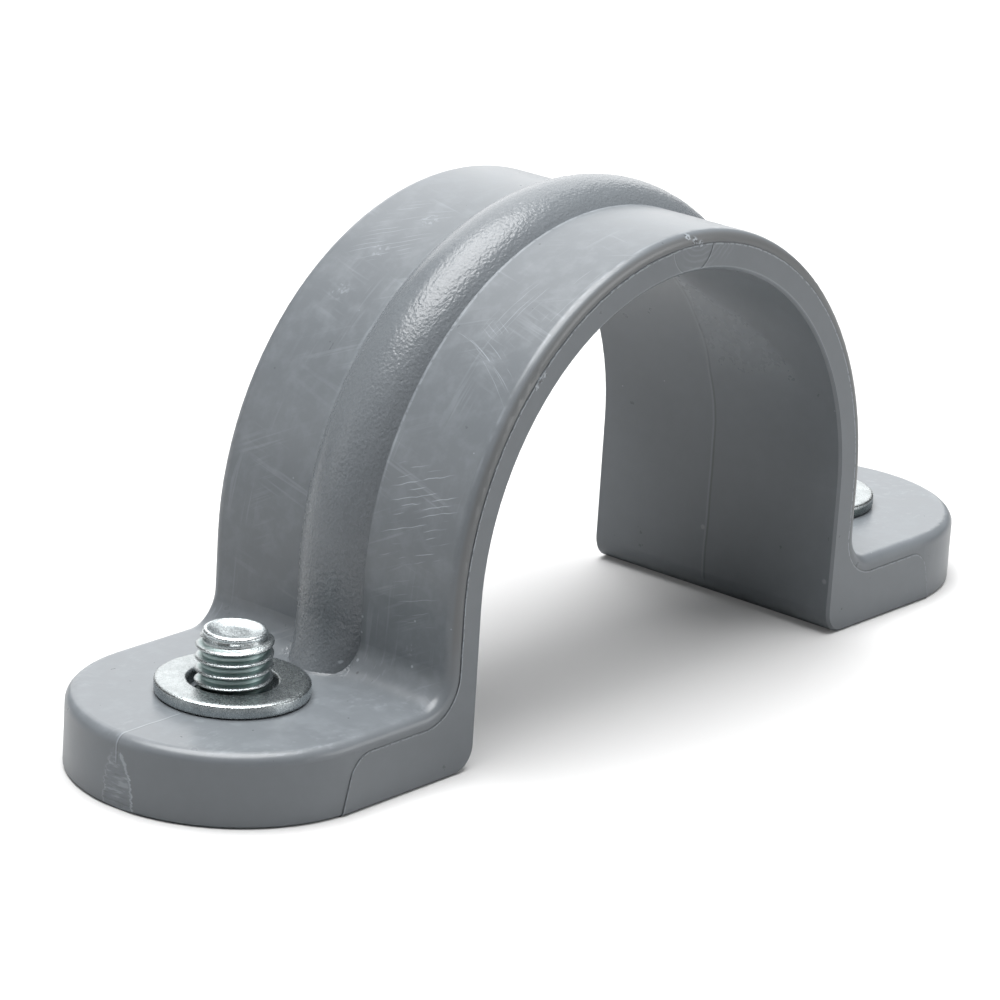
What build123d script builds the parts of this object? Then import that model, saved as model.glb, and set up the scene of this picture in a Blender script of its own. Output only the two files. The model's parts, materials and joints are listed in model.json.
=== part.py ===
from build123d import *
import os
from math import atan, degrees, hypot, radians, sqrt, tan

# A moulded plastic conduit strap with its two zinc-plated bolts and washers.
# X runs along the strap from the left lug to the right lug, Y along the conduit, Z up.
# The origin lies on the mounting surface, midway between the two bolts. All sizes are in mm.

# Conduit and arch
conduit_diameter = 60.3
conduit_clearance = 0.1
arch_centre_height = 17.3
band_width = 34.0
band_thickness = 4.25

# Lugs, and the corners where the legs turn into them. The bolts keep their distance from the legs
lug_thickness = 7.8
leg_to_bolt = 13.95
foot_fillet = 3.5
heel_rounding = 2.8

# Rounded and broken edges
rim_rounding = 1.2
base_chamfer = 0.3
mouth_chamfer = 0.3

# Outer rib. Its foot grows deeper and rounder down to the lug, and ends in a small sloping bead
rib_width = 9.0
rib_height = 2.3
rib_foot_width = 8.6
rib_foot_growth = 1.5
rib_foot_height = 5.5
rib_bead = 0.2

# Parting line of the mould: below it the side faces stand a small step wider
parting_depth = 1.4
lug_parting_depth = 1.65
parting_step = 0.1
parting_overrun = 1.5
parting_slope = 76.0
parting_corner = 3.0

# Half-round mark of the mould on the front face, just below the parting line
mark_radius = 3.3
mark_depth = 0.05
mark_shift = 0.35

# Trimmed gate: a shallow flat cut into the end of the left lug, deepest at the base
gate_depth = 0.11
gate_height = 6.3
gate_turn = 2.8

# Bolts, with a countersunk head in the underside of each lug. The threaded end is as wide as
# its thread and starts just above the washer, and the shank below it has the thread's mean width
bolt_diameter = 8.0
shank_diameter = 7.2
thread_lift = 0.2
bolt_stand = 7.05
bolt_tip_chamfer = 0.75
bolt_dish_rim = 0.3
bolt_dish_depth = 0.4
head_diameter = 15.0
head_land = 0.5
head_recess = 0.3
head_angle = 90.0
head_clearance = 0.1
bolt_hole_clearance = 0.6

# Washers, each pushed back against its bolt as far as the hole's play allows
washer_diameter = 16.0
washer_hole = 9.2
washer_thickness = 1.5
washer_chamfer = 0.25
washer_shift_x = 0.3
washer_shift_y = 0.35

# Worked out from the sizes above
inner_radius = (conduit_diameter + conduit_clearance) / 2
outer_radius = inner_radius + band_thickness
parting_radius = outer_radius - parting_depth
crown_radius = outer_radius + rib_height
crown_height = arch_centre_height + crown_radius
rib_foot_curve = (rib_foot_growth**2 + rib_foot_height**2) / (2 * rib_foot_growth)
rib_foot_top = lug_thickness + rib_bead + rib_foot_height
bead_root = lug_thickness / 2
bead_rise = lug_thickness + rib_bead - bead_root
bolt_x = outer_radius + leg_to_bolt
bolt_radius = bolt_diameter / 2
shank_radius = shank_diameter / 2
thread_start = lug_thickness + washer_thickness + thread_lift
shank_end = thread_start - (bolt_radius - shank_radius)
tip_height = lug_thickness + bolt_stand
tip_radius = bolt_radius - bolt_tip_chamfer
dish_radius = tip_radius - bolt_dish_rim
head_radius = head_diameter / 2
head_slope = tan(radians(head_angle / 2))
head_rim_height = head_recess + head_land
head_top = head_rim_height + (head_radius - shank_radius) / head_slope
sink_radius = head_radius + head_rim_height * head_slope + head_clearance
lug_end_radius = band_width / 2 - parting_step
mark_height = arch_centre_height + parting_radius + mark_shift
gate_tilt = degrees(atan(gate_depth / gate_height))
tolerance = 0.01


def is_corner(vertex, distance, height):
    """True for a corner of the side view at this distance from the middle and at this height."""
    return abs(abs(vertex.X) - distance) < tolerance and abs(vertex.Y - height) < tolerance


def side_outline(radius, lug_height, half_length, foot_radius, end_slope=90.0, end_radius=0.0):
    """Side view of the strap: half-round arch on upright legs that turn out into flat lugs."""
    lug_top_length = half_length - lug_height / tan(radians(end_slope))
    with BuildSketch(Plane.XZ) as outline:
        with Locations((0, arch_centre_height)):
            Circle(radius)
        with Locations((0, arch_centre_height / 2)):
            Rectangle(2 * radius, arch_centre_height)
        with Locations((0, -radius)):
            Rectangle(2 * radius, 2 * radius, mode=Mode.SUBTRACT)
        with Locations((0, lug_height / 2)):
            Trapezoid(2 * half_length, lug_height, end_slope)
        with Locations((0, arch_centre_height)):
            Circle(inner_radius, mode=Mode.SUBTRACT)
        with Locations((0, arch_centre_height / 2)):
            Rectangle(2 * inner_radius, arch_centre_height, mode=Mode.SUBTRACT)
        feet = outline.vertices().filter_by(lambda v: is_corner(v, radius, lug_height))
        fillet(feet, radius=foot_radius)
        heels = outline.vertices().filter_by(lambda v: is_corner(v, inner_radius, 0))
        fillet(heels, radius=heel_rounding)
        if end_radius > 0:
            ends = outline.vertices().filter_by(lambda v: is_corner(v, lug_top_length, lug_height))
            fillet(ends, radius=end_radius)
    return outline.sketch


def rib_profile(width, height, level):
    """Section of the rib on the left leg: a circular arc of this width and height, rooted in the leg."""
    round_radius = ((width / 2) ** 2 + height**2) / (2 * height)
    with BuildSketch(Plane.XY.offset(level)) as profile:
        with Locations((round_radius - outer_radius - height, 0)):
            Circle(round_radius)
        with Locations((-outer_radius - height, 0)):
            Rectangle(2 * height + band_thickness, 2 * round_radius, mode=Mode.INTERSECT)
    return profile.sketch


def rib_foot_profile(share):
    """Section of the rib's foot, from 0 at its top to 1 at its base, along a hollow circular flank."""
    drop = share * rib_foot_height
    growth = rib_foot_curve - sqrt(rib_foot_curve**2 - drop**2)
    width = rib_width + (rib_foot_width - rib_width) * share
    return rib_profile(width, rib_height + growth, rib_foot_top - drop)


def arch_distance(point):
    """Distance of a point from the conduit's axis, or from the middle plane below that axis."""
    return hypot(point.X, max(point.Z - arch_centre_height, 0))


def runs_along(edge):
    """True for an edge on a side face or round a lug's end, false for one that crosses the band."""
    middle = edge @ 0.5
    return abs(middle.Y) > tolerance or abs(middle.X) > bolt_x


def is_rim(edge):
    """True for an edge where the outer surface meets a side face or the round end of a lug."""
    middle = edge @ 0.5
    outside = arch_distance(middle) > outer_radius - tolerance
    return outside and middle.Z > lug_thickness - tolerance and runs_along(edge)


def is_base(edge):
    """True for an edge of the underside that runs along a side face or round a lug's end."""
    return abs((edge @ 0.5).Z) < tolerance and runs_along(edge)


def is_mouth(edge):
    """True for an edge where the inside of the arch meets a side face."""
    inside = arch_distance(edge @ 0.5) < inner_radius + heel_rounding - tolerance
    return inside and runs_along(edge)


os.makedirs("parts", exist_ok=True)

# Rib over the arch and down both legs: part of a torus on the arch, of a cylinder on each leg,
# and a flared foot on each lug
with BuildPart() as rib:
    rib_section = rib_profile(rib_width, rib_height, arch_centre_height)
    revolve(rib_section, axis=Axis((0, 0, arch_centre_height), (0, 1, 0)), revolution_arc=180)
    extrude(rib_section, amount=rib_foot_top - arch_centre_height)
    loft([rib_foot_profile(share) for share in (0, 0.25, 0.5, 0.75, 1)])
    bead_base = rib_profile(
        rib_foot_width + 2 * bead_rise, rib_height + rib_foot_growth + bead_rise, bead_root
    )
    loft([rib_foot_profile(1), bead_base], ruled=True)
    mirror(about=Plane.YZ)

# Inside of the strap up to the parting line, a step wider than the outside
with BuildPart() as core:
    core_outline = side_outline(
        parting_radius,
        lug_thickness - lug_parting_depth,
        bolt_x + parting_overrun,
        foot_fillet + parting_depth,
        parting_slope,
        parting_corner,
    )
    extrude(core_outline, amount=band_width / 2, both=True)
    chamfer(core.edges().filter_by(is_mouth), length=mouth_chamfer)
    with BuildSketch(Plane.XZ.offset(band_width / 2)):
        with Locations((mark_shift, mark_height)):
            Circle(mark_radius)
    extrude(amount=-mark_depth, mode=Mode.SUBTRACT)

# The strap, with round lug ends and a countersunk hole through each lug
with BuildPart() as strap:
    strap_outline = side_outline(
        outer_radius, lug_thickness, bolt_x + band_width / 2, foot_fillet
    )
    extrude(strap_outline, amount=band_width / 2, both=True)
    with BuildSketch(Plane.XY):
        SlotCenterToCenter(2 * bolt_x, 2 * lug_end_radius)
    extrude(amount=crown_height, mode=Mode.INTERSECT)
    fillet(strap.edges().filter_by(is_rim), radius=rim_rounding)
    chamfer(strap.edges().filter_by(is_base), length=base_chamfer)
    add(rib.part)
    add(core.part)
    with Locations((-bolt_x, 0, 0), (bolt_x, 0, 0)):
        with Locations(Rotation(180, 0, 0)):
            CounterSinkHole(bolt_radius + bolt_hole_clearance / 2, sink_radius, lug_thickness, head_angle)
    with Locations(Location((-bolt_x, 0, 0), (0, 0, gate_turn))):
        with Locations(Location((gate_depth - lug_end_radius, 0, 0), (0, -gate_tilt, 0))):
            Box(
                lug_end_radius,
                band_width / 2,
                2 * lug_thickness,
                align=(Align.MAX, Align.CENTER, Align.CENTER),
                mode=Mode.SUBTRACT,
            )

strap.part.label = "strap"
export_step(strap.part, "parts/strap.step")

for side, end in ((-1, "left"), (1, "right")):
    bolt_axis = Axis((side * bolt_x, 0, 0), (0, 0, 1))
    washer_x = side * (bolt_x - washer_shift_x)

    # Bolt: head in the underside of the lug, shank through lug and washer, hollow threaded end
    with BuildPart() as bolt:
        with BuildSketch(Plane.XZ.move(Location((side * bolt_x, 0, 0)))):
            with BuildLine():
                Polyline(
                    (0, head_recess),
                    (head_radius, head_recess),
                    (head_radius, head_rim_height),
                    (shank_radius, head_top),
                    (shank_radius, shank_end),
                    (bolt_radius, thread_start),
                    (bolt_radius, tip_height - bolt_tip_chamfer),
                    (tip_radius, tip_height),
                    (dish_radius, tip_height),
                )
                TangentArc(
                    (0, tip_height - bolt_dish_depth),
                    (dish_radius, tip_height),
                    tangent=(1, 0),
                )
                Line((0, tip_height - bolt_dish_depth), (0, head_recess))
            make_face()
        revolve(axis=bolt_axis)
    bolt.part.label = f"bolt_{end}"
    export_step(bolt.part, f"parts/bolt_{end}.step")

    # Washer: flat punched ring lying on the lug
    with BuildPart() as washer:
        with BuildSketch(Plane.XY.offset(lug_thickness)):
            with Locations((washer_x, washer_shift_y)):
                Circle(washer_diameter / 2)
                Circle(washer_hole / 2, mode=Mode.SUBTRACT)
        extrude(amount=washer_thickness)
        chamfer(washer.edges().filter_by(GeomType.CIRCLE), length=washer_chamfer)
    washer.part.label = f"washer_{end}"
    export_step(washer.part, f"parts/washer_{end}.step")
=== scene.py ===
import json
import math

import bmesh
import bpy
from bpy.props import FloatProperty, FloatVectorProperty, IntProperty, PointerProperty
from mathutils import Matrix, Vector


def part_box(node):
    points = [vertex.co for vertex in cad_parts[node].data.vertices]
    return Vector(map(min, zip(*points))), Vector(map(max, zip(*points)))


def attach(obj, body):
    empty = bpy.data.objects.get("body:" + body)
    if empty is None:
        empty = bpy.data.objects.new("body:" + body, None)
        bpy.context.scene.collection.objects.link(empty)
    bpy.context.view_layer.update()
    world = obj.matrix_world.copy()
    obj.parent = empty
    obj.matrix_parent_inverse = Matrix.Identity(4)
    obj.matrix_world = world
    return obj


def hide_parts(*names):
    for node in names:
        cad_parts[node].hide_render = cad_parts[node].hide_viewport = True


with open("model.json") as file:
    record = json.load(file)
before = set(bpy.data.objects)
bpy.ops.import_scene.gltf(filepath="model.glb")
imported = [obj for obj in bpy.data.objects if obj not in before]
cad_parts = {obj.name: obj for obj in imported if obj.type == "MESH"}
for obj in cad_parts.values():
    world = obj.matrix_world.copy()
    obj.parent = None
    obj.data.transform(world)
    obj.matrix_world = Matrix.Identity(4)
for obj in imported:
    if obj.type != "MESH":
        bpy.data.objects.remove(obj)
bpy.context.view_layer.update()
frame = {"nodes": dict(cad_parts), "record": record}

bl_info = {
    "name": "Conduit strap",
    "version": (1, 0, 0),
    "blender": (4, 5, 0),
    "location": "3D View > Sidebar > Strap",
    "description": "Dresses a moulded plastic conduit strap, its threaded bolts and its washers",
    "category": "Object",
}

# All lengths are metres unless a name ends in _mm
MM = 0.001
SIDES = ("left", "right")
MOUNTS = {mount["name"]: mount for mount in frame["record"]["mounts"]}
SEAT_CENTRE = Vector(MOUNTS["conduit_seat"]["pos_m"])
SEAT_RADIUS = MOUNTS["conduit_seat"]["dims"]["r_mm"] * MM
THREAD_RADIUS = MOUNTS["bolts"]["dims"]["stud_r_mm"] * MM
BOLT_X = MOUNTS["bolts"]["dims"]["spacing_x_mm"] * MM / 2
STRAP_LOW, STRAP_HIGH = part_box("strap")
BOLT_LOW, BOLT_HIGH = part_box("bolt_left")
WASHER_LOW, WASHER_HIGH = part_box("washer_left")
LUG_TOP = WASHER_LOW.z
WASHER_RADIUS = (WASHER_HIGH.x - WASHER_LOW.x) / 2
BOLT_TIP = BOLT_HIGH.z
HEAD_RADIUS = (BOLT_HIGH.x - BOLT_LOW.x) / 2
HALF_WIDTH = (STRAP_HIGH.y - STRAP_LOW.y) / 2
MERGE_DISTANCE = 1e-6
CUT_DISTANCE = 1e-7
CORNER_STEPS = 6
SHARP_ANGLE = math.radians(38)
WHITE = (1, 1, 1, 1)

# Marks of wear on the strap, in mm. Along is the way over the arch from its crown, left is positive,
# and across is Y. Sets of scratches: from and to along, from and to across, slant, pitch, strength
SCRATCH_SETS = (
    (39.5, 51.0, -15.5, -5.6, -0.4, 0.75, 0.7), (16.5, 25.5, -13.0, -7.4, -6.5, 0.5, 0.32),
    (12.5, 22.0, -16.2, -12.5, -9.0, 0.45, 0.34), (51.0, 57.0, -15.0, -8.0, -0.3, 0.7, 0.35),
    (22.5, 28.5, -13.5, -7.6, 0.5, 0.6, 0.3), (9.0, 21.0, 6.0, 14.5, -0.7, 0.7, 0.35),
)
# Long curved scratches: start along, share of the common curve, from and to across, strength
LONG_SCRATCHES = (
    (25.6, 1.0, -16.4, -5.0, 0.4), (24.4, 1.0, -15.6, -8.8, 0.4),
    (25.4, 1.12, -15.6, -6.0, 0.28), (25.8, 1.25, -16.6, -9.5, 0.32),
)
# Scuffs: along, across, radius
SCUFFS = ((59.0, -11.5, 1.0), (24.9, 11.3, 1.6), (18.7, 10.4, 1.4), (12.4, 8.6, 1.4))
# Light specks near the left foot: along, across, radius
LIGHT_SPECKS = (
    (60.4, 4.5, 0.22), (57.3, -4.6, 0.18), (59.0, -4.6, 0.16), (61.9, -4.7, 0.2),
    (60.7, -11.7, 0.2), (55.8, -11.7, 0.16), (62.2, -3.4, 0.24),
)
# Dark specks, seen from above: X, Y, radius
DARK_SPECKS = (
    (-35.8, -5.5, 0.2), (-53.8, 9.2, 0.16), (-11.05, -5.6, 0.16), (-41.0, -9.0, 0.12),
)
# Chips along the parting line of the front face: X, Z, radius
CHIPS = (
    (-23.9, 39.6, 0.4), (-23.4, 40.3, 0.5), (-22.8, 40.75, 0.4),
    (-0.4, 51.4, 0.55), (0.55, 50.8, 0.6), (1.5, 50.4, 0.5),
)
# Ripples in and beside the half-round mark: X, Z, radius
RIPPLES = ((1.4, 49.4, 3.6), (5.6, 49.9, 2.4))
# Pin marks on the inside of the right leg: Y, Z, radius
PIN_MARKS = ((1.4, 8.1, 0.4), (-16.1, 6.3, 0.4))
# Directions of the hair scratches, in degrees from the way along the band
HAIR_TURNS = (4.0, 62.0, 104.0)
HALF_SCRATCH = 0.03

# Outline of one thread tooth, upwards: share of the pitch, share of the depth
TOOTH = (
    (0.0, 0.06), (0.1, 0.0), (0.24, 0.0), (0.34, 0.06), (0.5, 0.4), (0.57, 0.76),
    (0.61, 0.92), (0.67, 1.0), (0.75, 0.98), (0.81, 0.86), (0.86, 0.62), (0.92, 0.28),
)


class StrapPlastic(bpy.types.PropertyGroup):
    """Finish of the moulded strap, and where its moulding marks lie"""

    colour: FloatVectorProperty(
        name="Colour", description="Grey of the moulded plastic", subtype="COLOR", size=3,
        min=0.0, max=1.0, default=(0.165, 0.181, 0.196),
    )
    # Painted shade: darker, warmer grey for the arch's rounded rims outside the parting line
    rim_shade_colour: FloatVectorProperty(
        name="Rim colour", description="Warmer grey of the arch's rims outside the parting line",
        subtype="COLOR", size=3, min=0.0, max=1.0, default=(0.148, 0.152, 0.153),
    )
    roughness: FloatProperty(
        name="Roughness", description="Roughness of the smooth bands", min=0.0, max=1.0, default=0.3,
    )
    grain_size: FloatProperty(
        name="Grain size", description="Size of one pebble in the grain of the rib",
        unit="LENGTH", default=0.3 * MM,
    )
    grain_height: FloatProperty(
        name="Grain height", description="Height of the pebbles in the grain of the rib",
        unit="LENGTH", default=0.07 * MM,
    )
    band_thickness: FloatProperty(
        name="Band thickness", description="Wall of the arch without its rib",
        unit="LENGTH", default=4.25 * MM,
    )
    rib_width: FloatProperty(
        name="Rib width", description="Width of the rib at its root", unit="LENGTH", default=9.0 * MM,
    )
    foot_fillet: FloatProperty(
        name="Foot fillet", description="Radius between a leg and the top of its lug",
        unit="LENGTH", default=3.5 * MM,
    )
    parting_depth: FloatProperty(
        name="Parting depth", description="Distance of the parting line from the outer surface",
        unit="LENGTH", default=1.4 * MM,
    )
    lug_parting_depth: FloatProperty(
        name="Lug parting depth", description="Depth of the parting line below the top of a lug",
        unit="LENGTH", default=1.65 * MM,
    )
    parting_overrun: FloatProperty(
        name="Parting overrun", description="How far the parting line runs past the bolt at the base",
        unit="LENGTH", default=1.5 * MM,
    )
    parting_slope: FloatProperty(
        name="Parting slope", description="Slope of the parting line where it runs down to the base",
        subtype="ANGLE", default=math.radians(76),
    )
    parting_corner: FloatProperty(
        name="Parting corner", description="Radius where the parting line turns down to the base",
        unit="LENGTH", default=3.0 * MM,
    )
    mark_radius: FloatProperty(
        name="Mark radius", description="Radius of the half-round mark on the front face",
        unit="LENGTH", default=3.3 * MM,
    )
    gate_width: FloatProperty(
        name="Gate width", description="Width of the trimmed gate at the base", unit="LENGTH",
        default=3.9 * MM,
    )
    gate_height: FloatProperty(
        name="Gate height", description="Height of the trimmed gate", unit="LENGTH", default=6.3 * MM,
    )


class BoltSizes(bpy.types.PropertyGroup):
    """Sizes and finish of the threaded bolts"""

    pitch: FloatProperty(
        name="Pitch", description="Advance of the thread in one turn", unit="LENGTH", default=1.25 * MM,
    )
    thread_depth: FloatProperty(
        name="Thread depth", description="Depth of the thread from crest to root",
        unit="LENGTH", default=0.72 * MM,
    )
    thread_phase: FloatProperty(
        name="Thread phase", description="Height of the first tooth above a whole pitch",
        unit="LENGTH", default=0.13 * MM,
    )
    tip_radius: FloatProperty(
        name="Tip radius", description="Radius of the bead round the tip", unit="LENGTH",
        default=3.32 * MM,
    )
    dish_radius: FloatProperty(
        name="Dish radius", description="Radius of the hollow rolled into the tip", unit="LENGTH",
        default=2.9 * MM,
    )
    dish_depth: FloatProperty(
        name="Dish depth", description="Depth of the hollow rolled into the tip",
        unit="LENGTH", default=0.4 * MM,
    )
    neck_radius: FloatProperty(
        name="Neck radius", description="Radius of the groove below the bead of the tip",
        unit="LENGTH", default=3.22 * MM,
    )
    neck_drop: FloatProperty(
        name="Neck drop", description="Depth of that groove below the top of the tip",
        unit="LENGTH", default=0.62 * MM,
    )
    head_land: FloatProperty(
        name="Head land", description="Height of the upright edge of the countersunk head",
        unit="LENGTH", default=0.5 * MM,
    )
    steps: IntProperty(
        name="Steps", description="Segments in one turn of the thread", min=24, default=120,
    )
    colour: FloatVectorProperty(
        name="Zinc colour", description="Colour of the zinc plating", subtype="COLOR", size=3,
        min=0.0, max=1.0, default=(0.5, 0.535, 0.545),
    )
    root_colour: FloatVectorProperty(
        name="Root colour", description="Blue-green tint of the plating in the thread roots",
        subtype="COLOR", size=3, min=0.0, max=1.0, default=(0.34, 0.44, 0.43),
    )


class WasherSizes(bpy.types.PropertyGroup):
    """Sizes of the punched washers"""

    hole_radius: FloatProperty(
        name="Hole radius", description="Radius of the washer's hole", unit="LENGTH", default=4.6 * MM,
    )
    roll_width: FloatProperty(
        name="Roll width", description="Width of the rolled outer edge at the top",
        unit="LENGTH", default=0.7 * MM,
    )
    roll_depth: FloatProperty(
        name="Roll depth", description="Drop of the rolled outer edge at the top",
        unit="LENGTH", default=0.26 * MM,
    )
    under_roll: FloatProperty(
        name="Under roll", description="Rounding of the outer edge at the bottom",
        unit="LENGTH", default=0.4 * MM,
    )
    hole_roll: FloatProperty(
        name="Hole roll", description="Rounding of the hole's upper edge",
        unit="LENGTH", default=0.35 * MM,
    )
    steps: IntProperty(
        name="Steps", description="Segments round the washer", min=24, default=160,
    )


class StageSettings(bpy.types.PropertyGroup):
    """Floor, lamps and camera"""

    floor_size: FloatProperty(
        name="Floor size", description="Side of the square floor", unit="LENGTH", default=4.0,
    )
    camera_distance: FloatProperty(
        name="Camera distance", description="Distance of the camera from the point it looks at",
        unit="LENGTH", default=466.4 * MM,
    )
    camera_target: FloatVectorProperty(
        name="Camera target", description="Point that the camera looks at", subtype="TRANSLATION",
        size=3, default=(-13.53 * MM, -4.52 * MM, 22.21 * MM),
    )
    azimuth: FloatProperty(
        name="Azimuth", description="Direction of the camera round the strap",
        subtype="ANGLE", default=math.radians(-50.42),
    )
    elevation: FloatProperty(
        name="Elevation", description="Height angle of the camera", subtype="ANGLE",
        default=math.radians(18.38),
    )
    roll: FloatProperty(
        name="Roll", description="Turn of the camera about its line of sight", subtype="ANGLE",
        default=math.radians(3.67),
    )
    focal_length: FloatProperty(
        name="Focal length", description="Lens length in millimetres on a 36 mm sensor",
        subtype="NONE", default=159.7,
    )
    key_strength: FloatProperty(
        name="Key lamp", description="Power of the large lamp overhead", unit="POWER", default=21.5,
    )
    back_strength: FloatProperty(
        name="Back lamp", description="Power of the tall panel behind the strap", unit="POWER",
        default=4.5,
    )
    side_strength: FloatProperty(
        name="Side lamp", description="Power of the low panel on the right", unit="POWER",
        default=2.4,
    )
    left_strength: FloatProperty(
        name="Left lamp", description="Power of the panel behind and left of the strap", unit="POWER",
        default=0.4,
    )
    fill_strength: FloatProperty(
        name="Fill", description="Brightness of the surroundings", min=0.0, default=0.02,
    )
    gloss_strength: FloatProperty(
        name="Gloss", description="Brightness of the surroundings as shiny surfaces mirror them",
        min=0.0, default=0.14,
    )
    floor_white: FloatProperty(
        name="Floor white", description="Whiteness of the floor as the camera sees it",
        min=0.0, max=1.0, default=0.7,
    )
    floor_bounce: FloatProperty(
        name="Floor bounce", description="Whiteness with which the floor lights the strap from below",
        min=0.0, max=1.0, default=0.52,
    )
    floor_lift: FloatProperty(
        name="Floor lift", description="Brightness added to the floor where the camera sees it",
        min=0.0, default=0.06,
    )


class Reading:
    """One output of a shader graph that ordinary arithmetic joins to further Math nodes."""

    def __init__(self, graph, socket):
        self.graph = graph
        self.socket = socket

    def __add__(self, other):
        return self.graph.math("ADD", self, other)

    def __radd__(self, other):
        return self.graph.math("ADD", other, self)

    def __sub__(self, other):
        return self.graph.math("SUBTRACT", self, other)

    def __rsub__(self, other):
        return self.graph.math("SUBTRACT", other, self)

    def __mul__(self, other):
        return self.graph.math("MULTIPLY", self, other)

    def __rmul__(self, other):
        return self.graph.math("MULTIPLY", other, self)

    def __abs__(self):
        return self.graph.math("ABSOLUTE", self)

    def __neg__(self):
        return self.graph.math("MULTIPLY", self, -1.0)

    def __gt__(self, other):
        return self.graph.math("GREATER_THAN", self, other)

    def __lt__(self, other):
        return self.graph.math("LESS_THAN", self, other)


class Graph:
    """Builds the nodes of one material or world."""

    def __init__(self, owner):
        owner.use_nodes = True
        self.tree = owner.node_tree
        self.tree.nodes.clear()

    def feed(self, socket, value):
        """Links a socket to a reading or an output, or sets its constant."""
        if isinstance(value, Reading):
            self.tree.links.new(value.socket, socket)
        elif isinstance(value, bpy.types.NodeSocket):
            self.tree.links.new(value, socket)
        elif value is not None:
            socket.default_value = value

    def node(self, kind, settings=None, values=None):
        """Adds a node, sets its settings first and then the values or links of its sockets."""
        node = self.tree.nodes.new(kind)
        for name, value in (settings or {}).items():
            setattr(node, name, value)
        for name, value in (values or {}).items():
            self.feed(node.inputs[name], value)
        return node

    def read(self, node, name):
        """A node's output as a reading."""
        return Reading(self, node.outputs[name])

    def math(self, operation, *values):
        """Result of a Math node with these inputs."""
        node = self.node("ShaderNodeMath", {"operation": operation}, dict(enumerate(values)))
        return self.read(node, "Value")

    def smooth(self, value, low, high, start=0.0, end=1.0):
        """Start below low, end above high, with a smooth step between."""
        values = {"Value": value, "From Min": low, "From Max": high, "To Min": start, "To Max": end}
        node = self.node("ShaderNodeMapRange", {"interpolation_type": "SMOOTHSTEP"}, values)
        return self.read(node, "Result")

    def fade(self, value, near, far):
        """1 below near, 0 above far."""
        return self.smooth(value, near, far, 1.0, 0.0)

    def between(self, value, low, high, soft):
        """1 from low to high, with soft ends inside."""
        return self.smooth(value, low, low + soft) * self.fade(value, high - soft, high)

    def line(self, distance, half_width):
        """1 on a line and 0 past twice its half width, from the signed distance to it."""
        return self.fade(abs(distance), half_width * 0.5, half_width * 2)

    def length(self, a, b):
        """Length of the step that goes a one way and b the other."""
        return self.math("SQRT", a * a + b * b)

    def spots(self, a, b, places):
        """1 in soft round spots, each given by its centre and its radius."""
        here = self.vector(a, b, 0.0)
        found = 0.0
        for first, second, radius in places:
            values = {0: here, 1: (first, second, 0.0)}
            node = self.node("ShaderNodeVectorMath", {"operation": "DISTANCE"}, values)
            found = self.fade(self.read(node, "Value"), radius * 0.4, radius) + found
        return found

    def vector(self, x, y, z):
        """A vector of three readings or numbers."""
        return self.read(self.node("ShaderNodeCombineXYZ", None, {"X": x, "Y": y, "Z": z}), "Vector")

    def noise(self, place, size, detail=2.0, roughness=0.5):
        """Noise between 0 and 1 whose lumps are about this size."""
        values = {"Vector": place, "Scale": 1.0 / size, "Detail": detail, "Roughness": roughness}
        return self.read(self.node("ShaderNodeTexNoise", None, values), "Fac")

    def mix(self, amount, first, second):
        """The first colour, moved towards the second by this amount."""
        factor, a, b, result = 0, 6, 7, 2
        values = {factor: amount, a: rgba(first), b: rgba(second)}
        return self.node("ShaderNodeMix", {"data_type": "RGBA"}, values).outputs[result]

    def bump(self, height_mm):
        """Normal of a surface with this relief."""
        values = {"Height": height_mm, "Distance": MM}
        return self.node("ShaderNodeBump", None, values).outputs["Normal"]

    def place_mm(self):
        """Object coordinates in mm."""
        coordinates = self.node("ShaderNodeTexCoord").outputs["Object"]
        values = {0: coordinates, "Scale": 1.0 / MM}
        return self.read(self.node("ShaderNodeVectorMath", {"operation": "SCALE"}, values), "Vector")

    def split(self, vector):
        """X, Y and Z of a vector."""
        parts = self.node("ShaderNodeSeparateXYZ", None, {"Vector": vector})
        return (self.read(parts, name) for name in "XYZ")

    def surface(self, **values):
        """Principled shader joined to the output; underscores in names stand for spaces."""
        names = {name.replace("_", " "): value for name, value in values.items()}
        shader = self.node("ShaderNodeBsdfPrincipled", None, names)
        self.node("ShaderNodeOutputMaterial", None, {"Surface": shader.outputs["BSDF"]})


def rgba(colour):
    """A colour of three numbers with its alpha; links pass through."""
    if isinstance(colour, (Reading, bpy.types.NodeSocket)):
        return colour
    return (*tuple(colour)[:3], 1.0)


def scaled(colour, factor):
    """A colour made lighter or darker."""
    return tuple(channel * factor for channel in tuple(colour)[:3])


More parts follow.
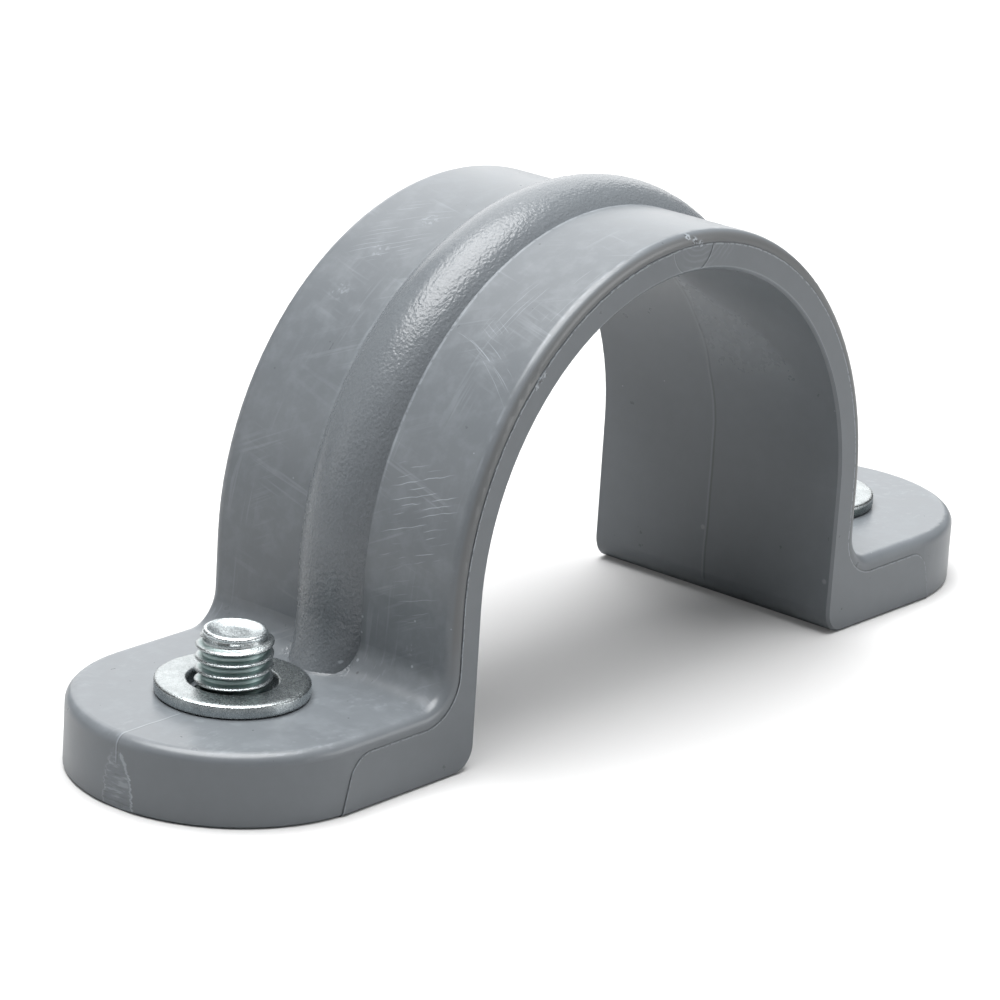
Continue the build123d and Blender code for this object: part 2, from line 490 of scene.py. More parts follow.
# In the materials, limits of places are in mm, and limits of noises are shares from 0 to 1
class StrapPlace:
    """Where a point of the strap lies, as readings in millimetres and masks from 0 to 1."""

    def __init__(self, graph, plastic):
        self.graph = graph
        self.point = graph.place_mm()
        self.x, self.y, self.z = graph.split(self.point)
        self.ax, self.ay = abs(self.x), abs(self.y)
        self.centre = SEAT_CENTRE.z / MM
        self.inner = SEAT_RADIUS / MM
        self.outer = (SEAT_RADIUS + plastic.band_thickness) / MM
        self.edge = HALF_WIDTH / MM
        self.lug_top = LUG_TOP / MM
        over = graph.math("MAXIMUM", self.z - self.centre, 0.0)
        under = graph.math("MAXIMUM", self.centre - self.z, 0.0)
        # Reach is the distance from the conduit's axis, and along the way over the arch from its crown
        self.reach = graph.length(self.x, over)
        run = graph.math("ARCTAN2", self.ax, over) * self.outer + under
        self.along = run * graph.math("SIGN", -self.x)
        self.outside = graph.smooth(self.reach, self.outer - 0.6, self.outer - 0.3)
        self.inside = graph.fade(self.reach, self.inner + 0.05, self.inner + 0.3)
        self.on_side = graph.smooth(self.ay, self.edge - 1.0, self.edge - 0.5)
        self.on_front = graph.smooth(-self.y, self.edge - 0.4, self.edge - 0.2)
        half_rib = plastic.rib_width / MM / 2
        root = graph.math("MINIMUM", self.reach - self.outer, 0.0) * 2 - (self.ay - half_rib)
        self.on_rib = graph.smooth(root, -0.12, 0.12) * (self.z > self.lug_top + 0.15)
        self.mottle = graph.noise(self.point, 2.2, detail=3.0, roughness=0.65)
        self.flecks = graph.noise(self.point, 0.5, detail=2.0)
        self.broken = graph.smooth(self.flecks, 0.38, 0.52)

    def unrolled(self, along=1.0, across=1.0, turn=0.0):
        """Coordinates on the unrolled band, scaled along and across it after a turn in degrees."""
        cosine, sine = math.cos(math.radians(turn)), math.sin(math.radians(turn))
        first = self.along * (cosine * along) + self.y * (sine * along)
        second = self.y * (cosine * across) - self.along * (sine * across)
        return self.graph.vector(first, second, self.reach)

    def wander(self, reading, size, width):
        """A slow sideways drift of a line, of up to half this width, that changes with the reading."""
        drift = self.graph.noise(self.graph.vector(reading, 0.0, 0.0), size, detail=1.0)
        return (drift - 0.5) * width

    def parting(self, plastic):
        """Distance in mm outside the parting line, seen along the conduit."""
        graph = self.graph
        radius = self.outer - plastic.parting_depth / MM
        top = (LUG_TOP - plastic.lug_parting_depth) / MM
        fillet = (plastic.foot_fillet + plastic.parting_depth) / MM
        foot_x = graph.math("MINIMUM", self.reach - (radius + fillet), 0.0)
        foot_z = graph.math("MINIMUM", self.z - (top + fillet), 0.0)
        leg = fillet - graph.length(foot_x, foot_z)
        corner = plastic.parting_corner / MM
        lean, rise = math.sin(plastic.parting_slope), math.cos(plastic.parting_slope)
        end = (BOLT_X + plastic.parting_overrun) / MM * lean
        corner_z = top - corner
        corner_x = (end - corner - corner_z * rise) / lean
        dx, dz = self.ax - corner_x, self.z - corner_z
        round_end = graph.length(dx, dz)
        straight = graph.math("MAXIMUM", dz, dx * lean + dz * rise)
        in_corner = (dx > 0.0) * (dz * lean - dx * rise > 0.0)
        lug = round_end * in_corner + straight * (1.0 - in_corner) - corner
        on_lug = self.ax > radius + fillet
        return lug * on_lug + leg * (1.0 - on_lug)


class Marks:
    """Marks on a surface summed up: height in mm, and how far they lighten, darken and roughen."""

    def __init__(self, graph):
        self.graph = graph
        self.height = self.light = self.dark = self.rough = 0.0

    def add(self, mask, **shares):
        """Adds a mark where the mask is above 0, with its share of each of the sums that it changes."""
        for name, share in shares.items():
            setattr(self, name, mask * share + getattr(self, name))

    def tint(self, colour, base, lighter, darker):
        """The colour with its marks, towards lighter and darker shades of the base colour."""
        colour = self.graph.mix(self.light, colour, scaled(base, lighter))
        return self.graph.mix(self.dark, colour, scaled(base, darker))


def rib_grain(place, marks, plastic):
    """Pebbled grain over the whole rib, and a painted highlight line along each of its roots."""
    graph = place.graph
    wave_size, wave_height, root_gap, highlight_half_width = 0.9, 0.04, 0.2, 0.1
    pebbles = graph.noise(place.unrolled(0.8, 1.0), plastic.grain_size / MM, detail=1.0)
    waves = graph.noise(place.unrolled(0.5, 1.0), wave_size, detail=1.0)
    smooth_back = graph.smooth(place.y, -1.0, 1.5) * graph.smooth(place.z, 20.0, 35.0) * 0.7
    relief = (pebbles - 0.5) * (plastic.grain_height / MM) + (waves - 0.5) * wave_height
    marks.add(relief * place.on_rib * (1.0 - smooth_back), height=1.0)
    marks.add(graph.smooth(pebbles, 0.45, 0.7) * place.on_rib, light=0.05, rough=-0.03)
    # Painted highlight: a fine bright line along each root of the rib, stronger on the front root,
    # fading out down the legs
    root = plastic.rib_width / MM / 2 + root_gap
    upper = place.outside * graph.smooth(place.z, 20.0, 38.0) * graph.smooth(place.flecks, 0.3, 0.5)
    marks.add(graph.line(place.y + root, highlight_half_width) * upper, light=0.3)
    marks.add(graph.line(place.y - root, highlight_half_width) * upper, light=0.1)


def hair_scratches(place):
    """Faint bundles of hair scratches in three directions."""
    graph = place.graph
    patch_size, light = 7.0, 0.0
    for turn in HAIR_TURNS:
        hairs = graph.noise(place.unrolled(0.1, 2.4, turn), 1.0, detail=2.0)
        patches = graph.noise(place.unrolled(1.0, 1.0, turn), patch_size, detail=0.0)
        light = graph.smooth(hairs, 0.56, 0.68) * graph.smooth(patches, 0.5, 0.75) * 0.14 + light
    return light


def scratch_sets(place, breaks):
    """Sets of parallel scratches, each line with its own strokes and gaps."""
    graph = place.graph
    wobble, row_step, soft_along, soft_across = 0.6, 3.7, 1.5, 2.0
    light = 0.0
    for first, last, front, back, slant, pitch, strength in SCRATCH_SETS:
        run = (place.along + place.y * slant) * (1.0 / math.hypot(1.0, slant) / pitch)
        count = run + breaks * wobble
        lines = graph.line(graph.math("FRACT", count) - 0.5, HALF_SCRATCH / pitch)
        row = graph.math("FLOOR", count) * row_step
        strokes = graph.vector(row, place.y * 0.3, place.along * 0.2)
        strokes = graph.smooth(graph.noise(strokes, 1.0, detail=1.0), 0.46, 0.62)
        window = graph.between(place.along, first, last, soft_along)
        window = window * graph.between(place.y, front, back, soft_across)
        light = lines * window * strokes * strength + light
    return light


def long_scratches(place, breaks):
    """Scratches that start across the band and bend down along it towards its front edge."""
    graph = place.graph
    bend_start, bend_power, bend, jitter, soft = 5.0, 1.6, 0.108, 0.15, 2.5
    past_start = graph.math("MAXIMUM", -place.y - bend_start, 0.0)
    sweep = graph.math("POWER", past_start, bend_power) * bend
    light = 0.0
    for start, fan, front, back, strength in LONG_SCRATCHES:
        curve = place.along - start - sweep * fan + (breaks - 0.5) * jitter
        ends = graph.between(place.y, front, back, soft) * graph.smooth(breaks, 0.3, 0.5)
        light = graph.line(curve, HALF_SCRATCH) * ends * strength + light
    return light


def band_wear(place, marks):
    """Haze, scratches and scuffs on the smooth bands and lugs, and a painted highlight along the front
    rim, broken up like scuffs.
    """
    graph = place.graph
    rim_highlight_gap, highlight_half_width = 1.05, 0.1
    breaks = graph.noise(place.unrolled(0.6, 0.6), 1.2, detail=1.0)
    light = graph.smooth(place.mottle, 0.42, 0.75) * 0.08 + hair_scratches(place)
    light = light + scratch_sets(place, breaks) + long_scratches(place, breaks)
    fuzz = graph.smooth(place.flecks, 0.5, 0.62) * 0.25
    light = light + graph.spots(place.along, place.y, SCUFFS) * fuzz
    upward = graph.smooth(place.z, place.lug_top - 0.6, place.lug_top - 0.2) * (1.0 - place.on_side)
    marks.add(light * place.outside * upward * (1.0 - place.on_rib), light=1.0, rough=0.3)
    # Painted highlight: a bright line where the front rim starts to round over, broken up like scuffs
    edge = graph.line(place.y + (place.edge - rim_highlight_gap), highlight_half_width) * place.outside
    marks.add(edge * graph.smooth(place.z, 26.0, 36.0) * graph.smooth(breaks, 0.4, 0.65), light=0.22)


def specks(place, marks):
    """Grit and pin marks: a few at their own places, and a thin scatter over everything."""
    graph = place.graph
    near_leg = graph.fade(place.ax, 36.2, 37.2)
    marks.add(graph.spots(place.along, place.y, LIGHT_SPECKS) * near_leg, light=0.7)
    marks.add(graph.spots(place.x, place.y, DARK_SPECKS), dark=0.6)
    cells = graph.node("ShaderNodeTexVoronoi", None, {"Vector": place.point, "Scale": 0.3})
    parts = graph.node("ShaderNodeSeparateColor", None, {"Color": cells.outputs["Color"]})
    near = graph.fade(graph.read(cells, "Distance"), 0.018, 0.034)
    marks.add(near * (graph.read(parts, "Red") > 0.6), light=0.5)
    marks.add(near * (graph.read(parts, "Green") > 0.75), dark=0.45)


def parting_marks(place, marks, parting):
    """Ragged parting line on the side faces, its bright lip, a painted highlight along the arch's inner
    edge, and chips.
    """
    graph = place.graph
    tear_size, tear_width = 0.7, 0.16
    ragged = parting + (graph.noise(place.point, tear_size, detail=2.0) - 0.5) * tear_width
    fading = 0.4 + graph.smooth(place.z, 2.0, 12.0) * 0.6
    marks.add(graph.line(ragged - 0.05, 0.045) * place.on_side * fading, dark=0.5)
    marks.add(graph.line(ragged + 0.1, 0.055) * place.on_side * place.broken * fading, light=0.5)
    # Painted highlight: a thin light line along the inner edge of the front face, high on the arch
    mouth_highlight = graph.line(place.reach - (place.inner + 0.3), 0.07) * place.on_front
    marks.add(mouth_highlight * graph.smooth(place.z, 26.0, 40.0), light=0.3)
    shard_size, shard_turn = 0.35, 40.0
    shards = graph.noise(place.unrolled(1.0, 1.0, shard_turn), shard_size, detail=1.0)
    chips = graph.spots(place.x, place.z, CHIPS) * place.on_side * (place.y < 0.0)
    marks.add(chips * graph.smooth(shards, 0.45, 0.55), light=0.8)
    marks.add(chips * graph.fade(shards, 0.38, 0.46), dark=0.6)


def half_round_mark(place, marks, parting, plastic):
    """Painted shade and highlight along the edge of the half-round mark on the front face, and the
    faint ripples in and beside it painted as lighter bands.
    """
    graph = place.graph
    shift = 0.35
    centre_z = place.outer - plastic.parting_depth / MM + place.centre + shift
    ring = graph.length(place.x - shift, place.z - centre_z) - plastic.mark_radius / MM
    below = graph.fade(parting, -0.35, -0.1) * place.on_front
    # Painted shade and highlight: a dark line on the edge and a light line just inside it
    marks.add(graph.line(ring, 0.06) * below, dark=0.25)
    marks.add(graph.line(ring - 0.12, 0.05) * below, light=0.3)
    ripple_x, ripple_z, waves_per_mm = 1.6, 53.0, 9.0
    waves = graph.length(place.x - ripple_x, place.z - ripple_z) * waves_per_mm + place.mottle * 9.0
    where = graph.spots(place.x, place.z, RIPPLES) * below
    # Painted light: the ripples are lighter bands in the colour, drawn without relief
    marks.add(graph.math("SINE", waves) * where, light=0.12)


def knit_line(place, marks):
    """Painted highlight and shade of a fine raised line over the top of the left lug's end, where the
    plastic met in the mould.
    """
    graph = place.graph
    offset = place.y + 0.45 - place.wander(place.x, 3.0, 0.35)
    where = graph.smooth(place.z, 4.5, 5.5) * graph.smooth(-place.x, 56.0, 56.6)
    # Painted highlight on the line and painted shade just beside it, drawn without relief
    marks.add(graph.line(offset, 0.07) * where, light=0.35)
    marks.add(graph.line(offset + 0.14, 0.06) * where, dark=0.3)


def trimmed_gate(place, marks, plastic):
    """Torn and tooled face of the trimmed gate on the left lug's end."""
    graph = place.graph
    shift, lean, tear = 0.85, 0.05, 0.7
    across = (place.y + shift - place.z * lean) * (2 * MM / plastic.gate_width)
    tooling = graph.vector(0.0, place.y * 0.35, place.z * 1.8)
    tooling = graph.noise(tooling, 1.0, detail=3.0, roughness=0.6)
    ring = graph.length(across + (tooling - 0.5) * tear, place.z * (MM / plastic.gate_height))
    on_end = graph.smooth(-place.x, 63.0, 63.6)
    gate = graph.fade(ring, 0.92, 1.0) * on_end
    marks.add((tooling * 0.16 - 0.04) * gate, height=1.0)
    marks.add(gate, light=0.08, rough=0.2)
    marks.add(graph.smooth(tooling, 0.5, 0.62) * gate, light=0.3)
    marks.add(graph.fade(tooling, 0.36, 0.44) * gate, dark=0.2)
    torn = graph.line(ring - 0.97, 0.045) * on_end
    marks.add(torn * (place.y < -1.0), light=0.5)
    marks.add(torn * (place.y > -1.0) * place.broken, light=0.15)


def arch_inside(place, marks):
    """Painted highlight and shade of a raised line round the inside of the arch, a painted sheen beside
    it, and two pin marks.
    """
    graph = place.graph
    seam = place.y - 1.0 - place.wander(place.along, 9.0, 0.7)
    # Painted highlight on the raised line and painted shade beside it, drawn without relief
    marks.add(graph.line(seam, 0.1) * place.inside, light=0.14)
    marks.add(graph.line(seam + 0.28, 0.1) * place.inside, dark=0.35)
    # Painted sheen: a paler area with a wavy edge beside the raised line
    lobe_size, patch_y, patch_along, patch_slope = 5.0, 1.4, 24.9, 0.75
    lobes = (graph.noise(place.point, lobe_size, detail=1.0) - 0.5) * lobe_size
    edge = place.y + patch_y - (place.along + patch_along) * patch_slope + lobes
    sheen_patch = graph.smooth(edge, -0.6, 1.4) * graph.fade(place.y, 0.2, 1.6)
    sheen_patch = sheen_patch * graph.between(place.along, -44.0, -17.0, 8.0)
    marks.add(sheen_patch * place.inside, light=0.13, rough=-0.03)
    pins = graph.spots(place.y, place.z, PIN_MARKS)
    marks.add(pins * place.inside * (place.x > 0.0), light=0.3)


def strap_plastic(plastic):
    """Moulded grey plastic: pebbled rib, scuffed bands, parting line, knit line and gate marks, with
    painted shade on the arch's rims and painted highlights and shade along some lines and edges.
    """
    material = bpy.data.materials.new("strap_plastic")
    graph = Graph(material)
    place = StrapPlace(graph, plastic)
    parting = place.parting(plastic)
    marks = Marks(graph)
    rib_grain(place, marks, plastic)
    band_wear(place, marks)
    specks(place, marks)
    parting_marks(place, marks, parting)
    half_round_mark(place, marks, parting, plastic)
    knit_line(place, marks)
    trimmed_gate(place, marks, plastic)
    arch_inside(place, marks)

    drift_size, mottle_height, lighter, darker = 14.0, 0.012, 2.6, 0.25
    drift = graph.noise(place.point, drift_size, detail=1.0)
    # Painted shade: the arch's rims outside the parting line turn a darker, warmer grey, fading out on
    # the lugs
    rim = graph.smooth(parting, 0.05, 0.2) * graph.smooth(place.z, 9.0, 16.0)
    rim = rim * graph.smooth(place.ay, place.edge - 0.65, place.edge - 0.3)
    colour = graph.mix(drift, scaled(plastic.colour, 0.96), scaled(plastic.colour, 1.04))
    # Lighter patches at random over the strap
    lighter_mottle = graph.smooth(place.mottle, 0.35, 0.7) * 0.12
    colour = graph.mix(lighter_mottle, colour, scaled(plastic.colour, 1.3))
    colour = graph.mix(rim * 0.8, colour, plastic.rim_shade_colour)
    colour = marks.tint(colour, plastic.colour, lighter, darker)
    rough = marks.rough + plastic.roughness + (place.mottle - 0.5) * 0.12 - place.on_rib * 0.02
    height = marks.height + place.mottle * mottle_height
    graph.surface(Base_Color=colour, Roughness=rough, Normal=graph.bump(height), IOR=1.5)
    return material


def zinc_plate(sizes):
    """Zinc plating: speckled, with painted glints, clouded, with a blue-green tint in the thread roots,
    painted shade in the washer holes and on the far washer's side, and a painted highlight in the tip's
    dish.
    """
    material = bpy.data.materials.new("zinc_plate")
    graph = Graph(material)
    point = graph.place_mm()
    x, y, z = graph.split(point)
    from_axis = graph.length(abs(x) - BOLT_X / MM, y)
    crest, root = THREAD_RADIUS / MM, (THREAD_RADIUS - sizes.thread_depth) / MM
    lug_top, washer_top, tip = LUG_TOP / MM, WASHER_HIGH.z / MM, BOLT_TIP / MM
    cloud_size, crystal_size, cloud_height, crystal_height = 1.6, 0.2, 0.02, 0.034
    shade_zinc = scaled(sizes.root_colour, 0.2)

    in_root = graph.fade(from_axis, root + 0.1, crest - 0.15) * graph.fade(z, tip - 1.4, tip - 1.1)
    cloud = graph.noise(point, cloud_size, detail=4.0, roughness=0.6)
    crystals = graph.noise(point, crystal_size, detail=3.0, roughness=0.65)
    grit = graph.smooth(crystals, 0.5, 0.68)
    # Painted glints: some crystals are made lighter
    painted_glints = graph.fade(crystals, 0.3, 0.42)
    # Painted shade: the washer's hole wall and the bolt inside it are made dark
    gap_shade = graph.fade(from_axis, 4.9, 5.2) * graph.between(z, lug_top - 2.0, washer_top - 0.2, 0.3)
    # Painted shade: the outer side of the far washer is made dark
    far_side_shade = graph.smooth(x, 0.0, 1.0) * graph.smooth(from_axis, 7.4, 7.7)
    far_side_shade = far_side_shade * graph.between(z, lug_top, lug_top + 1.3, 0.4)
    # Painted highlight: the dish at the tip is made much lighter
    dish = graph.smooth(z, tip - 0.6, tip - 0.45)

    colour = graph.mix(graph.smooth(cloud, 0.35, 0.7), scaled(sizes.colour, 0.8), sizes.colour)
    colour = graph.mix(grit * 0.38, colour, scaled(sizes.root_colour, 0.75))
    colour = graph.mix(painted_glints * 0.45, colour, scaled(sizes.colour, 1.5))
    colour = graph.mix(in_root * 0.85, colour, sizes.root_colour)
    colour = graph.mix(gap_shade * 0.85, colour, shade_zinc)
    colour = graph.mix(far_side_shade * 0.9, colour, shade_zinc)
    colour = graph.mix(dish * 0.7, colour, scaled(sizes.colour, 1.75))
    rough = 0.27 + grit * 0.12 + in_root * 0.12
    height = crystals * crystal_height + cloud * cloud_height
    graph.surface(Base_Color=colour, Metallic=1.0, Roughness=rough, Normal=graph.bump(height))
    return material


def new_object(name, data):
    """An object with this data, linked to the scene."""
    item = bpy.data.objects.new(name, data)
    bpy.context.scene.collection.objects.link(item)
    return item


def finished_mesh(name, build, material):
    """The mesh of a finished bmesh, with its material."""
    mesh = bpy.data.meshes.new(name)
    build.to_mesh(mesh)
    build.free()
    mesh.materials.append(material)
    return mesh


def make_piece(name, build, material, node):
    """Turns a finished bmesh into a smooth piece that stands for a CAD node."""
    mesh = finished_mesh(name, build, material)
    mesh.shade_smooth()
    mesh.set_sharp_from_angle(angle=SHARP_ANGLE)
    piece = new_object(name, mesh)
    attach(piece, "root")
    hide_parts(node)


def upright_axis(low, high):
    """Point at height 0 below the middle of a box."""
    return Vector(((low.x + high.x) / 2, (low.y + high.y) / 2, 0))


def spoke_to(vertex, axis):
    """Level vector from an upright axis to a vertex."""
    return Vector((vertex.co.x - axis.x, vertex.co.y - axis.y, 0))


def turned(build, profile, steps, axis):
    """Spins a closed profile of (radius, height) points a full turn about an upright axis."""
    points = [build.verts.new((axis.x + radius, axis.y, height)) for radius, height in profile]
    edges = [build.edges.new(pair) for pair in zip(points, points[1:] + points[:1])]
    bmesh.ops.spin(
        build, geom=points + edges, cent=axis, axis=(0, 0, 1), dvec=(0, 0, 0),
        angle=math.tau, steps=steps, use_merge=True,
    )
    bmesh.ops.remove_doubles(build, verts=build.verts, dist=MERGE_DISTANCE)
    bmesh.ops.recalc_face_normals(build, faces=build.faces)


def rounded_corner(corner, start, end):
    """Points of an arc that replaces a profile's corner, from start to end, both square to it."""
    centre = start + end - corner
    first, last = start - centre, end - centre
    for step in range(CORNER_STEPS + 1):
        turn = step / CORNER_STEPS * math.pi / 2
        yield centre + first * math.cos(turn) + last * math.sin(turn)


class STRAP_OT_mould_plastic(bpy.types.Operator):
    """Gives the strap its moulded plastic finish"""

    bl_idname = "strap.mould_plastic"
    bl_label = "Mould plastic"

    def execute(self, context):
        strap = frame["nodes"]["strap"]
        strap.data.materials.clear()
        strap.data.materials.append(strap_plastic(context.scene.strap_plastic))
        return {"FINISHED"}


class STRAP_OT_thread_bolts(bpy.types.Operator):
    """Builds both bolts with their rolled thread, hollow tip and countersunk head"""

    bl_idname = "strap.thread_bolts"
    bl_label = "Thread bolts"

    def execute(self, context):
        sizes = context.scene.strap_bolts
        material = zinc_plate(sizes)
        for side in SIDES:
            axis = upright_axis(*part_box(f"bolt_{side}"))
            build = bmesh.new()
            self.roll_thread(build, sizes, axis)
            self.run_out(build, sizes, axis)
            self.close_tip(build, sizes, axis)
            self.add_head(build, sizes, axis)
            bmesh.ops.recalc_face_normals(build, faces=build.faces)
            make_piece(f"threaded_bolt_{side}", build, material, f"bolt_{side}")
        return {"FINISHED"}

    def roll_thread(self, build, sizes, axis):
        """Screws one upright line of thread teeth round the bolt by one turn."""
        pitch, spare_turns = sizes.pitch, 2
        turns = int((BOLT_TIP - LUG_TOP) / pitch) + 2 * spare_turns
        bottom = LUG_TOP - spare_turns * pitch + sizes.thread_phase
        points = []
        for turn in range(turns):
            for share, rise in TOOTH:
                radius = THREAD_RADIUS - sizes.thread_depth * (1 - rise)
                height = bottom + (turn + share) * pitch
                points.append(build.verts.new((axis.x + radius, axis.y, height)))
        edges = [build.edges.new(pair) for pair in zip(points, points[1:])]
        bmesh.ops.spin(
            build, geom=points + edges, cent=axis, axis=(0, 0, 1),
            dvec=(0, 0, pitch / sizes.steps), angle=math.tau, steps=sizes.steps, use_merge=False,
        )
        bmesh.ops.remove_doubles(build, verts=build.verts, dist=MERGE_DISTANCE)
        for height, outwards in ((self.shank_top(sizes), -1), (self.thread_end(sizes), 1)):
            geometry = build.verts[:] + build.edges[:] + build.faces[:]
            bmesh.ops.bisect_plane(
                build, geom=geometry, plane_co=(0, 0, height), plane_no=(0, 0, outwards),
                clear_outer=True, dist=CUT_DISTANCE,
            )

    def shank_top(self, sizes):
        """Height at which the thread starts, one turn below the top of the lug."""
        return LUG_TOP - sizes.pitch

    def thread_end(self, sizes):
        """Height at which the thread ends, at the neck below the tip."""
        return BOLT_TIP - sizes.neck_drop

    def shank_radius(self, sizes):
        """Mean radius of the thread, which the plain shank has."""
        return THREAD_RADIUS - sizes.thread_depth / 2

    def run_out(self, build, sizes, axis):
        """Turns the thread down to the neck below the tip, and its lowest turn into the shank."""
        bottom, top = self.shank_top(sizes), self.thread_end(sizes)
        neck, shank = sizes.neck_radius, self.shank_radius(sizes)
        slope, neck_run, shank_run = 1.7, 0.5 * sizes.pitch, 0.6 * sizes.pitch
        for vertex in build.verts:
            spoke = spoke_to(vertex, axis)
            radius = min(spoke.length, neck + (top - vertex.co.z) * slope)
            upper = max(0.0, 1.0 - (top - vertex.co.z) / neck_run)
            radius = max(radius, neck * min(upper * 2, 1.0))
            lower = max(0.0, 1.0 - (vertex.co.z - bottom) / shank_run)
            radius += (shank - radius) * min(lower, 1.0)
            spoke = spoke.normalized() * radius
            vertex.co.x, vertex.co.y = axis.x + spoke.x, axis.y + spoke.y

    def draw_rings(self, build, axis, height, rings):
        """Draws the open edge at this height on through rings of (radius, height), then closes it."""
        loop = [edge for edge in build.edges if edge.is_boundary
                and all(abs(v.co.z - height) < MERGE_DISTANCE for v in edge.verts)]
        for radius, level in rings:
            grown = bmesh.ops.extrude_edge_only(build, edges=loop)["geom"]
            loop = [item for item in grown if isinstance(item, bmesh.types.BMEdge)]
            for vertex in {v for edge in loop for v in edge.verts}:
                spoke = spoke_to(vertex, axis).normalized() * radius
                vertex.co = Vector((axis.x + spoke.x, axis.y + spoke.y, level))
        cap = bmesh.ops.contextual_create(build, geom=loop)["faces"]
        bmesh.ops.poke(build, faces=cap)

    def close_tip(self, build, sizes, axis):
        """Rolls the end over into a rounded bead round a shallow dish."""
        neck, tip, dish = sizes.neck_radius, sizes.tip_radius, sizes.dish_radius
        drop, depth, inset = sizes.neck_drop, sizes.dish_depth, 0.03 * MM
        neck_share, shoulder_share, bead_share = 0.8, 0.66, 0.5
        bead_steps, dish_steps, dish_slope, dish_power = 8, 12, 2.2, 0.8
        rings = [(neck, BOLT_TIP - drop * neck_share), (tip - inset, BOLT_TIP - drop * shoulder_share)]
        for step in range(bead_steps + 1):
            turn = step / bead_steps * math.pi / 2
            radius = dish + (tip - dish) * math.cos(turn)
            rings.append((radius, BOLT_TIP - drop * bead_share * (1 - math.sin(turn))))
        for step in range(1, dish_steps):
            share = step / dish_steps
            fall = min(1.0, share * dish_slope) ** dish_power
            rings.append((dish * (1 - share), BOLT_TIP - depth * fall))
        self.draw_rings(build, axis, self.thread_end(sizes), rings)

    def add_head(self, build, sizes, axis):
        """Draws the lowest edge down into the plain shank and the head with its cone of 45 degrees."""
        head_low, land, shank = BOLT_LOW.z, sizes.head_land, self.shank_radius(sizes)
        cone_top = head_low + land + HEAD_RADIUS - shank
        rings = ((shank, cone_top), (HEAD_RADIUS, head_low + land), (HEAD_RADIUS, head_low))
        self.draw_rings(build, axis, self.shank_top(sizes), rings)


class STRAP_OT_punch_washers(bpy.types.Operator):
    """Builds both washers as punched rings with rolled edges"""

    bl_idname = "strap.punch_washers"
    bl_label = "Punch washers"

    def execute(self, context):
        sizes = context.scene.strap_washers
        material = zinc_plate(context.scene.strap_bolts)
        for side in SIDES:
            low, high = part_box(f"washer_{side}")
            build = bmesh.new()
            profile = list(self.section(sizes, low.z, high.z))
            turned(build, profile, sizes.steps, upright_axis(low, high))
            make_piece(f"punched_washer_{side}", build, material, f"washer_{side}")
        return {"FINISHED"}

    def section(self, sizes, bottom, top):
        """Section of the ring with its rolled edges, and a small burr at the foot of the hole."""
        hole, rim, burr = sizes.hole_radius, WASHER_RADIUS, 0.08 * MM
        under, over, over_drop = sizes.under_roll, sizes.hole_roll, 0.8 * sizes.hole_roll
        # Corner, reach of its rounding along the face and up the wall, and if the wall comes first
        corners = (
            (hole, bottom, burr, burr, True), (rim, bottom, -under, under, False),
            (rim, top, -sizes.roll_width, -sizes.roll_depth, True),
            (hole, top, over, -over_drop, False),
        )
        for x, z, run, rise, upright_first in corners:
            on_face, on_wall = Vector((x + run, z)), Vector((x, z + rise))
            start, end = (on_wall, on_face) if upright_first else (on_face, on_wall)
            yield from rounded_corner(Vector((x, z)), start, end)


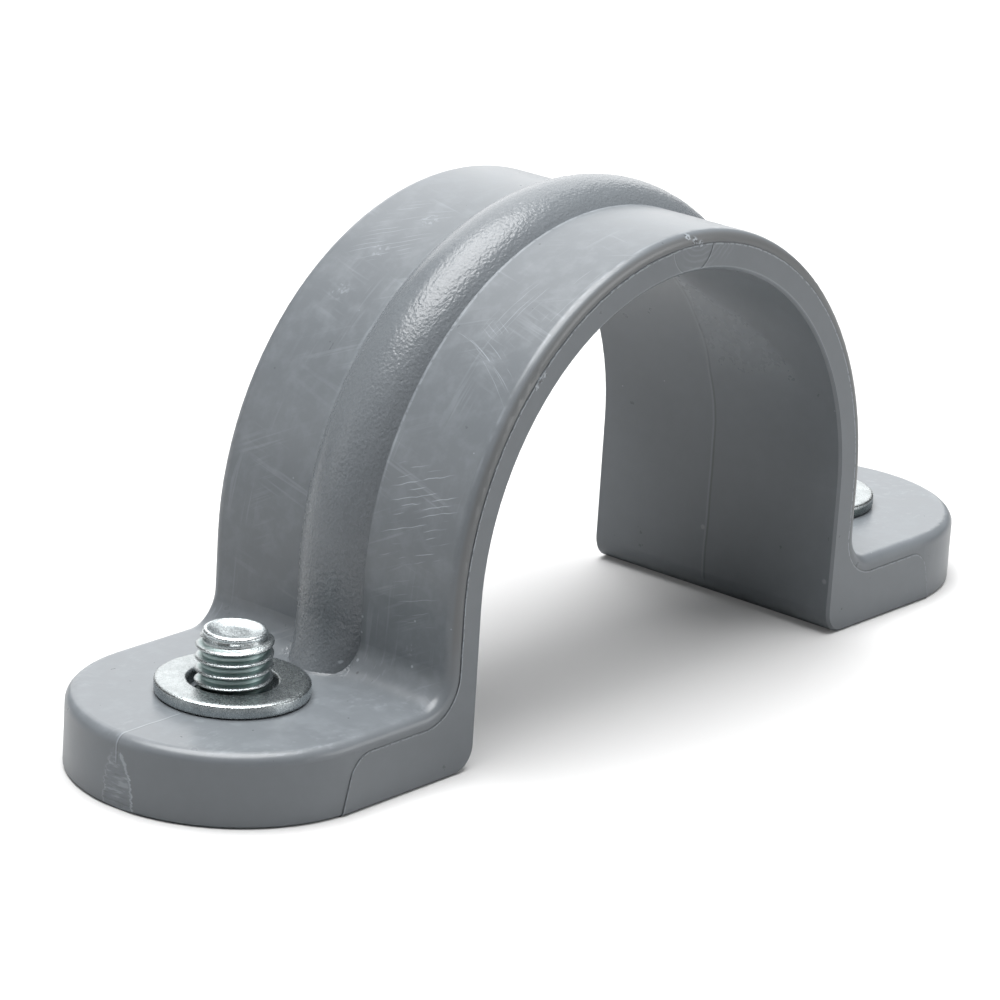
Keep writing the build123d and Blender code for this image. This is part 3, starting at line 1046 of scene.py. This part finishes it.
class STRAP_OT_set_stage(bpy.types.Operator):
    """Sets the pale floor, the soft lamps, the surroundings and the camera"""

    bl_idname = "strap.set_stage"
    bl_label = "Set stage"

    def execute(self, context):
        settings = context.scene.strap_stage
        self.lay_floor(settings)
        context.scene.world = self.white_room(settings)
        self.hang_lamps(settings)
        context.scene.camera = self.aim_camera(settings)
        context.scene.view_settings.view_transform = "Standard"
        return {"FINISHED"}

    def lay_floor(self, settings):
        """Lays the square floor under the strap."""
        build = bmesh.new()
        bmesh.ops.create_grid(build, x_segments=1, y_segments=1, size=settings.floor_size / 2)
        floor = new_object("floor", finished_mesh("floor", build, self.floor_paper(settings)))

    def floor_paper(self, settings):
        """White paper that keeps shadows, lifted to white for the camera and duller as a reflector."""
        material = bpy.data.materials.new("floor_paper")
        graph = Graph(material)
        camera_ray = graph.read(graph.node("ShaderNodeLightPath"), "Is Camera Ray")
        white, dull = (settings.floor_white,) * 3, (settings.floor_bounce,) * 3
        colour = graph.mix(camera_ray, dull, white)
        paper = graph.node("ShaderNodeBsdfDiffuse", None, {"Color": colour})
        values = {"Color": WHITE, "Strength": camera_ray * settings.floor_lift}
        lift = graph.node("ShaderNodeEmission", None, values)
        both = graph.node("ShaderNodeAddShader", None, {0: paper.outputs[0], 1: lift.outputs[0]})
        graph.node("ShaderNodeOutputMaterial", None, {"Surface": both.outputs[0]})
        return material

    def white_room(self, settings):
        """Surroundings: white for the camera, dim as a light and in reflections."""
        world = bpy.data.worlds.new("white_room")
        graph = Graph(world)
        path = graph.node("ShaderNodeLightPath")
        fill = settings.fill_strength
        mirrored = graph.read(path, "Is Glossy Ray") * (settings.gloss_strength - fill)
        seen = graph.read(path, "Is Camera Ray") * (1.0 - fill)
        values = {"Color": WHITE, "Strength": seen + mirrored + fill}
        background = graph.node("ShaderNodeBackground", None, values)
        graph.node("ShaderNodeOutputWorld", None, {"Surface": background.outputs[0]})
        return world

    def hang_lamps(self, settings):
        """Hangs the four soft lamps, each with its place, its width and height, and its power."""
        self.add_lamp("overhead_lamp", (-0.05, 0.08, 1.0), (1.0, 1.0), settings.key_strength)
        self.add_lamp("back_panel", (0.62, 0.62, 0.48), (0.85, 1.05), settings.back_strength)
        self.add_lamp("side_panel", (0.5, -0.8, 0.25), (0.6, 0.4), settings.side_strength)
        self.add_lamp("left_panel", (-0.75, 0.55, 0.28), (0.5, 0.35), settings.left_strength)

    def add_lamp(self, name, place, size, power):
        """Adds an area lamp that faces the strap, a disc if it is as wide as high."""
        lamp = bpy.data.lights.new(name, "AREA")
        lamp.shape = "ELLIPSE" if size[0] == size[1] else "RECTANGLE"
        lamp.size, lamp.size_y = size
        lamp.energy = power
        holder = new_object(name, lamp)
        holder.location = place
        holder.rotation_euler = (-Vector(place)).to_track_quat("-Z", "Y").to_euler()

    def aim_camera(self, settings):
        """Sets up the camera with the photo's angle, distance and lens."""
        azimuth, elevation, roll = settings.azimuth, settings.elevation, settings.roll
        sensor_mm, nearest, farthest = 36.0, 0.01, 50.0
        flat = math.cos(elevation)
        back = Vector((math.sin(azimuth) * flat, -math.cos(azimuth) * flat, math.sin(elevation)))
        level = Vector((math.cos(azimuth), math.sin(azimuth), 0.0))
        upright = back.cross(level)
        right = level * math.cos(roll) + upright * math.sin(roll)
        up = back.cross(right)
        data = bpy.data.cameras.new("photo_camera")
        data.lens = settings.focal_length
        data.sensor_width = sensor_mm
        data.clip_start, data.clip_end = nearest, farthest
        camera = new_object("photo_camera", data)
        turn = Matrix((right, up, back)).transposed().to_4x4()
        target = Vector(settings.camera_target)
        camera.matrix_world = Matrix.Translation(target + back * settings.camera_distance) @ turn
        return camera


class STRAP_PT_pieces(bpy.types.Panel):
    """Shows the strap's buttons and its settings"""

    bl_idname = "STRAP_PT_pieces"
    bl_label = "Conduit strap"
    bl_space_type = "VIEW_3D"
    bl_region_type = "UI"
    bl_category = "Strap"

    def draw(self, context):
        for operator in OPERATORS:
            self.layout.operator(operator.bl_idname)
        for group in GROUPS:
            settings = getattr(context.scene, group)
            box = self.layout.box()
            for name in settings.bl_rna.properties.keys():
                if name not in ("rna_type", "name"):
                    box.prop(settings, name)


OPERATORS = (STRAP_OT_mould_plastic, STRAP_OT_thread_bolts, STRAP_OT_punch_washers, STRAP_OT_set_stage)
GROUPS = {
    "strap_plastic": StrapPlastic,
    "strap_bolts": BoltSizes,
    "strap_washers": WasherSizes,
    "strap_stage": StageSettings,
}


def register():
    for group in GROUPS.values():
        bpy.utils.register_class(group)
    for name, group in GROUPS.items():
        setattr(bpy.types.Scene, name, PointerProperty(type=group))
    for item in (*OPERATORS, STRAP_PT_pieces):
        bpy.utils.register_class(item)


def unregister():
    for item in (STRAP_PT_pieces, *reversed(OPERATORS)):
        bpy.utils.unregister_class(item)
    for name, group in reversed(GROUPS.items()):
        delattr(bpy.types.Scene, name)
        bpy.utils.unregister_class(group)


def main():
    register()
    bpy.ops.strap.mould_plastic()
    bpy.ops.strap.thread_bolts()
    bpy.ops.strap.punch_washers()
    bpy.ops.strap.set_stage()


if __name__ == "__main__":
    main()
